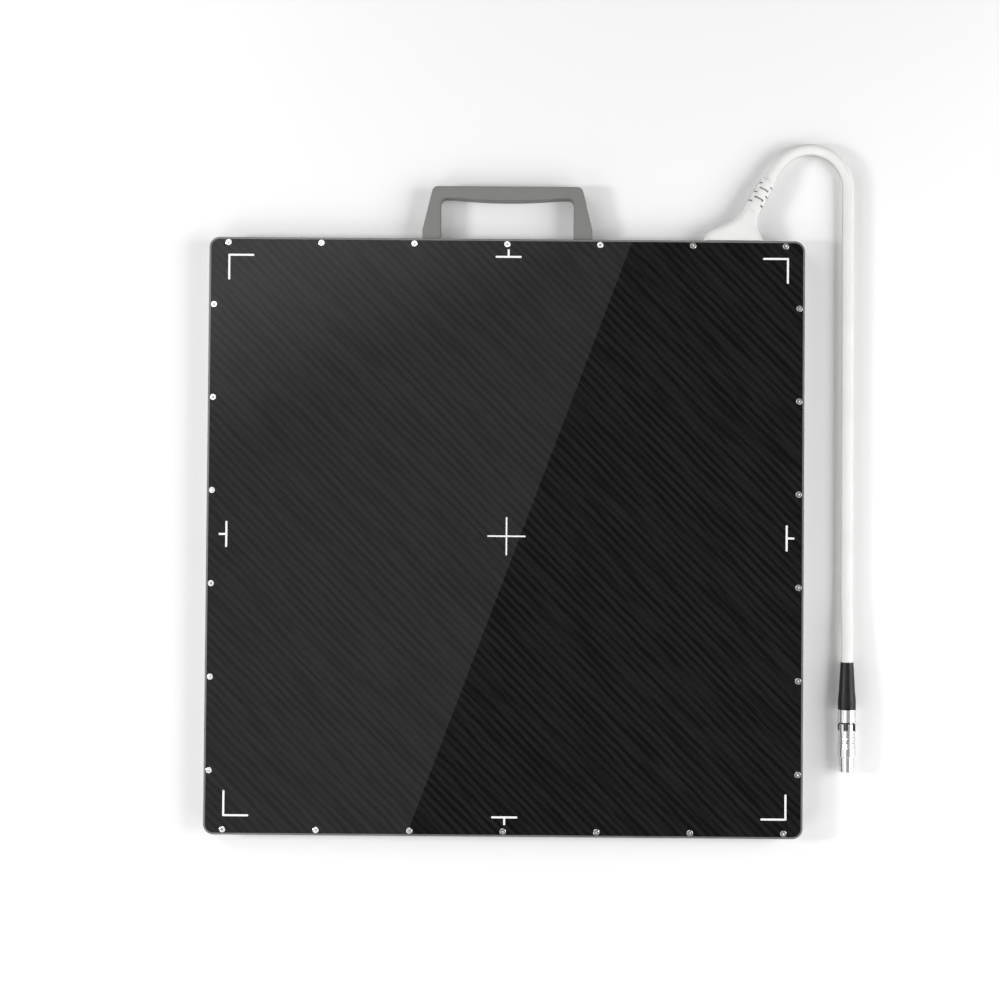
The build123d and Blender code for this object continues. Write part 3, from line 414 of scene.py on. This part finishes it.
def painted_hollow_shade(tree, place, start, along, low, high, dark, end):
    """A painted shade about an axis: dark within the lower radius, 1 beyond the higher one, and 1
    also past the end of this stretch of the axis. All in millimetres."""
    offset = add(
        tree, "ShaderNodeVectorMath", {0: place, 1: Vector(start) * MM}, operation="SUBTRACT"
    )
    off_axis = add(tree, "ShaderNodeVectorMath", {0: offset, 1: along}, operation="CROSS_PRODUCT")
    radius = add(tree, "ShaderNodeVectorMath", {0: off_axis}, operation="LENGTH")
    reach = add(tree, "ShaderNodeVectorMath", {0: offset, 1: along}, operation="DOT_PRODUCT")
    shade = add(
        tree,
        "ShaderNodeMapRange",
        {0: radius.outputs["Value"], 1: low * MM, 2: high * MM, 3: dark, 4: 1.0},
    )
    past = add(
        tree, "ShaderNodeMath", {0: reach.outputs["Value"], 1: end * MM}, operation="GREATER_THAN"
    )
    return add(tree, "ShaderNodeMath", {0: shade, 1: past}, operation="MAXIMUM")


def painted_flank_shade(tree, place):
    """Greys the steep sides, so that white pieces keep their outline on the white floor. It takes a
    place as every shade does, but does not use it."""
    # painted shade: the more sideways the surface faces, the darker its colour
    normal = add(tree, "ShaderNodeNewGeometry").outputs["Normal"]
    rise = add(tree, "ShaderNodeSeparateXYZ", {0: normal}).outputs["Z"]
    level = add(tree, "ShaderNodeMath", {0: rise}, operation="ABSOLUTE")
    return add(
        tree, "ShaderNodeMapRange", {0: level, 1: 0.0, 2: FLANK_TOP, 3: FLANK_PAINTED_SHADE, 4: 1.0}
    )


def painted_slot_shade(tree, place):
    """Paints shade on the strain relief's steep sides, and more painted shade down in its slots."""
    lean = radians(BOOT_LEAN)
    along = (sin(lean), cos(lean), 0.0)
    slots = painted_hollow_shade(tree, place, BOOT_EXIT, along, SLOT_FLOOR, SLOT_TOP, SLOT_PAINTED_SHADE, SLOT_END)
    sides = painted_flank_shade(tree, place)
    return add(tree, "ShaderNodeMath", {0: slots, 1: sides}, operation="MULTIPLY")


def painted_sleeve_shade(tree, place):
    """Paints shade on what lies under the plug's sleeve."""
    along = (0.0, -1.0, 0.0)
    rear = CABLE_POINTS[-1]
    radii = (UNDER_SLEEVE, SLEEVE_INSIDE)
    return painted_hollow_shade(tree, place, rear, along, *radii, SLEEVE_PAINTED_SHADE, SLEEVE_END)


finishes = {
    # bead-blasted and anodised: a soft satin grey with a fine sparkle
    "frame_aluminium": finish(
        "anodised_aluminium", ("636562", "6e706d"), (0.4, 0.5), 30.0, 0.25, 0.004, Metallic=0.22
    ),
    "carbon_window": carbon_laminate(),
    # screen ink that fills the engraving: matt, slightly uneven white
    "mark_paint": finish("screen_ink", ("f6f6f4", "fcfcfa"), (0.45, 0.6), 3.0, 0.15, 0.001),
    # stainless steel, turned and tumbled: bright, with a soft blurred mirror
    "screw_steel": finish(
        "stainless_steel", ("b8b8b6", "cececc"), (0.05, 0.12), 1.5, 0.12, 0.0004, Metallic=1.0
    ),
    # moulded silicone: dull black that takes a little dust
    "seal_rubber": finish("silicone_rubber", ("191919", "232322"), (0.7, 0.85), 12.0, 0.3, 0.01),
    # textured powder coat: an even grey with an orange-peel grain
    "cover_aluminium": finish(
        "powder_coat", ("868885", "8b8d8a"), (0.5, 0.65), 40.0, 0.7, 0.03, detail=1.0
    ),
    # glass-filled nylon from a spark-eroded mould: matt grey with a fine even grain
    "handle_grey": finish(
        "glass_filled_nylon", ("6f6f6c", "767673"), (0.6, 0.75), 18.0, 0.35, 0.02, detail=1.0
    ),
    # soft moulded elastomer: satin white, a trace of waviness, and painted shade in the slots and
    # on the steep sides
    "boot_white": finish(
        "moulded_elastomer",
        ("eaeae8", "f0f0ee"),
        (0.45, 0.55),
        10.0,
        0.5,
        0.01,
        shade=painted_slot_shade,
        Specular_IOR_Level=0.2,
    ),
    # extruded jacket: off-white satin with faint drawing lines, and painted shade along its sides
    "cable_jacket": finish(
        "extruded_jacket",
        ("ecece9", "f2f2ef"),
        (0.4, 0.5),
        25.0,
        0.6,
        0.008,
        ALONG_Y,
        shade=painted_flank_shade,
        Specular_IOR_Level=0.15,
    ),
    # moulded rubber: black with a low sheen
    "relief_black": finish(
        "moulded_rubber",
        ("050505", "0a0a0a"),
        (0.36, 0.48),
        6.0,
        0.25,
        0.006,
        Specular_IOR_Level=0.25,
    ),
    # bright chrome over brass: a clear mirror with a breath of polishing haze, and painted shade in
    # the notches and under the sleeve
    "plug_chrome": finish(
        "bright_chrome",
        ("e2e3e4", "ececec"),
        (0.03, 0.08),
        4.0,
        0.3,
        shade=painted_sleeve_shade,
        Metallic=1.0,
    ),
    # turned brass: warm yellow with fine tool marks round it
    "collet_brass": finish(
        "turned_brass", ("bd9750", "cfae6a"), (0.22, 0.36), 3.0, 0.1, 0.003, ROUND_Y, Metallic=1.0
    ),
    # blued spring steel: dark grey with a rolled grain
    "latch_spring": finish(
        "spring_steel", ("85868a", "a0a09c"), (0.24, 0.36), 4.0, 0.15, 0.002, ALONG_Y, Metallic=1.0
    ),
    # hard gold over nickel: clean and glossy
    "contact_gold": finish(
        "gold_plate", ("dcab50", "e9bf66"), (0.14, 0.22), 1.0, 0.1, Metallic=1.0
    ),
    # glass-filled polyphenylene sulphide: tan and faintly mottled
    "insulator_plastic": finish(
        "connector_resin", ("aa9264", "bca678"), (0.42, 0.55), 2.0, 0.2, 0.005
    ),
    # extruded wire insulation: smooth saturated red
    "wire_insulation": finish(
        "wire_insulation", ("9a2a24", "aa342c"), (0.34, 0.42), 3.0, 0.3, 0.003
    ),
    # open-cell foam: dark grey, coarse and quite without gloss
    "foam_grey": finish(
        "open_cell_foam", ("3f4044", "63646a"), (0.9, 1.0), 6.0, 0.8, 0.35, detail=4.0
    ),
    # phosphor screen: chalky white with a hint of green
    "scintillator_white": finish(
        "phosphor_screen", ("e2e5dc", "edefe8"), (0.55, 0.65), 30.0, 0.2, 0.004
    ),
    # glass with the thin-film array on it: smooth grey-green, with a faint sheen
    "sensor_glass": finish(
        "array_glass", ("93a5a4", "a3b3b2"), (0.03, 0.08), 15.0, 0.15, Coat_Weight=0.5
    ),
    # rolled lead: dull blue-grey with cloudy oxide
    "lead_sheet": finish(
        "rolled_lead", ("5d6066", "787a7e"), (0.42, 0.6), 15.0, 0.5, 0.01, Metallic=0.9
    ),
    # milled aluminium: bright, with fine cutter lines
    "support_aluminium": finish(
        "milled_aluminium",
        ("b0b1b2", "c2c3c4"),
        (0.26, 0.4),
        25.0,
        0.35,
        0.006,
        ALONG_Y,
        Metallic=1.0,
    ),
    # solder mask over copper: glossy green, with darker and lighter patches of copper below
    "board_green": finish(
        "solder_mask", ("17502d", "226a3e"), (0.28, 0.38), 9.0, 0.8, 0.008, Coat_Weight=0.3
    ),
    # nickel-plated brass: pale warm metal
    "standoff_brass": finish(
        "nickel_plate", ("b9aa84", "cbbd98"), (0.22, 0.34), 3.0, 0.12, 0.002, Metallic=1.0
    ),
    # polyimide film: clear amber with copper tracks along it
    "film_amber": finish(
        "polyimide_film", ("9c5a14", "c07a2c"), (0.2, 0.3), 10.0, 0.5, 0.004, ACROSS_X
    ),
    # moulded epoxy: matt black with a fine grain
    "chip_black": finish("moulded_epoxy", ("1b1c1e", "262729"), (0.55, 0.68), 4.0, 0.15, 0.006),
    # tinned steel: pale grey with a crystal pattern
    "can_tin": finish(
        "tinned_steel", ("a6a6a2", "bebeba"), (0.3, 0.46), 5.0, 1.2, 0.003, Metallic=1.0
    ),
    # ceramic-filled silicone pad: chalky light blue
    "pad_blue": finish("gap_pad", ("758db0", "859dc0"), (0.75, 0.85), 6.0, 0.4, 0.02),
    # natural nylon: ivory, slightly cloudy
    "connector_ivory": finish("natural_nylon", ("d0c8af", "dfd8c1"), (0.42, 0.54), 5.0, 0.3, 0.005),
    # laminated flat cable: pale grey, with the conductors showing as lines along it
    "ribbon_white": finish(
        "ribbon_laminate", ("c4c6ca", "dadce0"), (0.3, 0.4), 20.0, 0.5, 0.01, ALONG_Y
    ),
}


def dress_nodes():
    """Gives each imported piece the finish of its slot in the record."""
    for part in frame["record"]["subparts"]:
        for slot in frame["nodes"][part["node"]].material_slots:
            slot.material = finishes[part["material_slot"]]


def screw_mesh():
    """One countersunk socket screw, head up, with its top at the origin. Its rings hold an outline,
    a factor on it, a width added to it and a height."""
    turns = [2 * pi * i / ROUND_STEPS for i in range(ROUND_STEPS)]
    sixth = pi / 3
    hexagon = [SOCKET_FLAT / 2 / cos(turn % sixth - sixth / 2) for turn in turns]
    level = [1.0] * ROUND_STEPS
    head_h = HEAD_R - SHANK_R
    rings = [
        (level, EDGE_BREAK, 0.0, -SOCKET_DEPTH - DRILL_POINT),
        (hexagon, 1.0, 0.0, -SOCKET_DEPTH),
        (hexagon, 1.0, 0.0, -EDGE_BREAK),
        (hexagon, 1.0, EDGE_BREAK, 0.0),
        (level, HEAD_R - RIM_BREAK, 0.0, 0.0),
        (level, HEAD_R, 0.0, -EDGE_BREAK),
        (level, SHANK_R, 0.0, -head_h),
    ]
    depth = head_h + THREAD_PITCH
    while depth < SCREW_L - THREAD_PITCH:
        rings.append((level, SHANK_R, 0.0, -depth))
        rings.append((level, SHANK_R - THREAD_DEPTH, 0.0, -depth - THREAD_PITCH / 2))
        depth += THREAD_PITCH
    rings.append((level, SHANK_R, 0.0, -SCREW_L + 2 * EDGE_BREAK))
    rings.append((level, SHANK_R - 2 * EDGE_BREAK, 0.0, -SCREW_L))
    points = []
    for shape, factor, extra, height in rings:
        for turn, radius in zip(turns, shape):
            reach = radius * factor + extra
            points.append(Vector((reach * cos(turn), reach * sin(turn), height)) * MM)
    faces = []
    for ring in range(len(rings) - 1):
        for i in range(ROUND_STEPS):
            after = (i + 1) % ROUND_STEPS
            low, high = ring * ROUND_STEPS, (ring + 1) * ROUND_STEPS
            faces.append((low + i, high + i, high + after, low + after))
    last = (len(rings) - 1) * ROUND_STEPS
    faces.append(tuple(range(ROUND_STEPS)))
    faces.append(tuple(last + i for i in reversed(range(ROUND_STEPS))))
    data = bpy.data.meshes.new("screw")
    data.from_pydata(points, [], faces)
    data.shade_smooth()
    data.set_sharp_from_angle(angle=radians(SHARP_ANGLE))
    return data


def screw_nodes():
    """Geometry nodes that set a screw on every point, each turned its own way about its axis."""
    tree = bpy.data.node_groups.new("screws_on_points", "GeometryNodeTree")
    sockets = {}
    for name, kind in (
        ("Points", "NodeSocketGeometry"),
        ("Screw", "NodeSocketObject"),
        ("Tilt", "NodeSocketFloat"),
        ("Seed", "NodeSocketInt"),
        ("Finish", "NodeSocketMaterial"),
    ):
        made = tree.interface.new_socket(name, in_out="INPUT", socket_type=kind)
        sockets[name] = made.identifier
    tree.interface.new_socket("Screws", in_out="OUTPUT", socket_type="NodeSocketGeometry")
    given = add(tree, "NodeGroupInput").outputs
    screw = add(tree, "GeometryNodeObjectInfo", {"Object": given["Screw"]})
    turn = add(
        tree,
        "FunctionNodeRandomValue",
        {2: 0.0, 3: 2 * pi, "Seed": given["Seed"]},
        data_type="FLOAT",
    )
    angles = add(tree, "ShaderNodeCombineXYZ", {"X": given["Tilt"], "Z": turn.outputs[1]})
    placed = add(
        tree,
        "GeometryNodeInstanceOnPoints",
        {
            "Points": given["Points"],
            "Instance": screw.outputs["Geometry"],
            "Rotation": add(tree, "FunctionNodeEulerToRotation", {0: angles}),
        },
    )
    real = add(tree, "GeometryNodeRealizeInstances", {"Geometry": placed})
    dressed = add(
        tree, "GeometryNodeSetMaterial", {"Geometry": real, "Material": given["Finish"]}
    )
    add(tree, "NodeGroupOutput", {0: dressed})
    return tree, sockets


def screw_set(name, node, places, tilt, seed):
    """The screws at these places as one piece, which stands for this node."""
    points = bpy.data.meshes.new(name + "_points")
    points.from_pydata([Vector(place) * MM for place in places], [], [])
    host = linked(bpy.data.objects.new(name + "_points", points))
    screw = linked(bpy.data.objects.new(name + "_one", screw_mesh()))
    tree, sockets = screw_nodes()
    values = {"Screw": screw, "Tilt": tilt, "Seed": seed, "Finish": finishes["screw_steel"]}
    modifier = host.modifiers.new("screws", "NODES")
    modifier.node_group = tree
    for key, value in values.items():
        modifier[sockets[key]] = value
    graph = bpy.context.evaluated_depsgraph_get()
    data = bpy.data.meshes.new_from_object(host.evaluated_get(graph), depsgraph=graph)
    data.name = name
    for helper in (host, screw):
        bpy.data.objects.remove(helper)
    made = linked(bpy.data.objects.new(name, data))
    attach(made, "detector")
    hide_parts(node)


def row(count, pitch, drop=0.0):
    """Places of a row of screws about the housing's middle, or lower by the drop."""
    return [(i - (count - 1) / 2) * pitch - drop for i in range(count)]


def screws():
    """The window's screws and the cover's."""
    ends = [(x, y) for x in row(ROW_SCREWS, SCREW_PITCH) for y in (SCREW_LINE, -SCREW_LINE)]
    window_side = row(WINDOW_SIDE_SCREWS, SCREW_PITCH, SIDE_DROP)
    cover_side = row(COVER_SIDE_SCREWS, COVER_SIDE_PITCH)
    for name, node, side, height, tilt, seed in (
        ("window_socket_screws", "window_screws", window_side, WINDOW_HEAD, 0.0, WINDOW_SEED),
        ("cover_socket_screws", "cover_screws", cover_side, COVER_HEAD, pi, COVER_SEED),
    ):
        sides = [(x, y) for y in side for x in (SCREW_LINE, -SCREW_LINE)]
        places = [(x, y, height) for x, y in ends + sides]
        screw_set(name, node, places, tilt, seed)


def sheet(name, corners, material):
    """A flat polygon of the set, in metres."""
    data = bpy.data.meshes.new(name)
    data.from_pydata(corners, [], [tuple(range(len(corners)))])
    data.materials.append(material)
    made = linked(bpy.data.objects.new(name, data))
    return made


def seen_as_white(tree):
    """1 for what the camera, gloss and clear pieces see, and 0 for what only lights the object."""
    path = add(tree, "ShaderNodeLightPath").outputs
    seen = path["Is Camera Ray"]
    for kind in ("Is Glossy Ray", "Is Transmission Ray"):
        seen = add(tree, "ShaderNodeMath", {0: seen, 1: path[kind]}, operation="MAXIMUM")
    return seen


def floor():
    """A white floor that keeps the object's shadow, and stays white out of the lamps' reach."""
    made, tree = blank("white_floor")
    seen = seen_as_white(tree)
    shade = add(tree, "ShaderNodeMapRange", {0: seen, 3: FLOOR_BOUNCE, 4: 1.0})
    diffuse = add(tree, "ShaderNodeBsdfDiffuse", {"Color": shade})
    white = add(tree, "ShaderNodeEmission", {"Strength": 1.0})
    place = add(tree, "ShaderNodeTexCoord").outputs["Object"]
    distance = add(tree, "ShaderNodeVectorMath", {0: place}, operation="LENGTH")
    far = add(
        tree,
        "ShaderNodeMapRange",
        {0: distance.outputs["Value"], 1: FLOOR_NEAR, 2: FLOOR_FAR},
        interpolation_type="SMOOTHSTEP",
    )
    share = add(tree, "ShaderNodeMath", {0: far, 1: seen}, operation="MULTIPLY")
    shader = add(tree, "ShaderNodeMixShader", {0: share, 1: diffuse, 2: white})
    add(tree, "ShaderNodeOutputMaterial", {"Surface": shader})
    half = FLOOR_SIDE / 2
    corners = [(-half, -half), (half, -half), (half, half), (-half, half)]
    sheet("floor", [(x, y, -FLOOR_DROP) for x, y in corners], made)


def mirrored(x, y):
    """The place on the cards that the camera sees in the window's gloss at this place."""
    camera_x, camera_y, camera_z = CAMERA_PLACE
    reach = CARD_RISE / (camera_z - WINDOW_TOP)
    height = WINDOW_TOP + CARD_RISE
    return Vector((x + (x - camera_x) * reach, y + (y - camera_y) * reach, height)) * MM


def card(name, corners, material):
    """A card that only gloss sees: it neither lights nor shades the object."""
    made = sheet(name, [mirrored(*corner) for corner in corners], material)
    made.visible_camera = False
    made.visible_diffuse = False
    made.visible_shadow = False


def glow(tree, place, level):
    """Ends a card's tree in this radiance, which fades to the surround's white far out."""
    flat = add(tree, "ShaderNodeVectorMath", {0: place, 1: (1, 1, 0)}, operation="MULTIPLY")
    distance = add(tree, "ShaderNodeVectorMath", {0: flat}, operation="LENGTH")
    shown = add(
        tree,
        "ShaderNodeMapRange",
        {0: distance.outputs["Value"], 1: CARD_NEAR * MM, 2: CARD_FAR * MM, 3: level, 4: 1.0},
        interpolation_type="SMOOTHSTEP",
    )
    shader = add(tree, "ShaderNodeEmission", {"Strength": shown})
    add(tree, "ShaderNodeOutputMaterial", {"Surface": shader})


def cards():
    """A bright card and a dark one above the window, which meet in one straight edge."""
    dark, tree = blank("dark_card")
    glow(tree, add(tree, "ShaderNodeTexCoord").outputs["Object"], DARK_CARD)
    bright, tree = blank("bright_card")
    place = add(tree, "ShaderNodeTexCoord").outputs["Object"]
    start = mirrored(*GLOSS_CORNER)
    offset = add(tree, "ShaderNodeVectorMath", {0: place, 1: start}, operation="SUBTRACT")
    fade = add(
        tree,
        "ShaderNodeVectorMath",
        {0: offset, 1: (*BRIGHT_FADE, 0.0)},
        operation="DOT_PRODUCT",
    )
    level = add(
        tree, "ShaderNodeMath", {0: fade.outputs["Value"], 1: BRIGHT_CORNER}, operation="ADD"
    )
    capped = add(tree, "ShaderNodeMath", {0: level, 1: BRIGHT_CORNER}, operation="MINIMUM")
    kept = add(
        tree,
        "ShaderNodeMath",
        {0: capped, 1: BRIGHT_CARD, 2: FADE_SOFTNESS},
        operation="SMOOTH_MAX",
    )
    glow(tree, place, kept)
    upper, lower = GLOSS_EDGE
    left, right = -CARD_HALF, CARD_HALF
    card("bright_card", [lower, upper, (left, right), (left, left)], bright)
    card("dark_card", [lower, (right, left), (right, right), upper], dark)


def lamp(name, azimuth, elevation, distance, side, power):
    """A square soft light that looks at the middle of the object."""
    data = bpy.data.lights.new(name, "AREA")
    data.shape = "SQUARE"
    data.size = side
    data.energy = power
    turn, rise = radians(azimuth), radians(elevation)
    place = Vector((cos(turn) * cos(rise), sin(turn) * cos(rise), sin(rise)))
    made = linked(bpy.data.objects.new(name, data))
    made.location = place * distance
    made.rotation_euler = (-place).to_track_quat("-Z", "Y").to_euler()


def world():
    """A dim surround that the camera and gloss see as white."""
    made = bpy.data.worlds.new("surround")
    made.use_nodes = True
    tree = made.node_tree
    tree.nodes.clear()
    strength = add(tree, "ShaderNodeMapRange", {0: seen_as_white(tree), 3: SURROUND, 4: 1.0})
    white = (1.0, 1.0, 1.0, 1.0)
    back = add(tree, "ShaderNodeBackground", {"Color": white, "Strength": strength})
    add(tree, "ShaderNodeOutputWorld", {"Surface": back})
    bpy.context.scene.world = made


camera()
free_cable(finishes["cable_jacket"])
dress_nodes()
screws()
floor()
cards()
for name, facts in LAMPS.items():
    lamp(name, *facts)
world()

view_settings = bpy.context.scene.view_settings
view_settings.view_transform = "Standard"
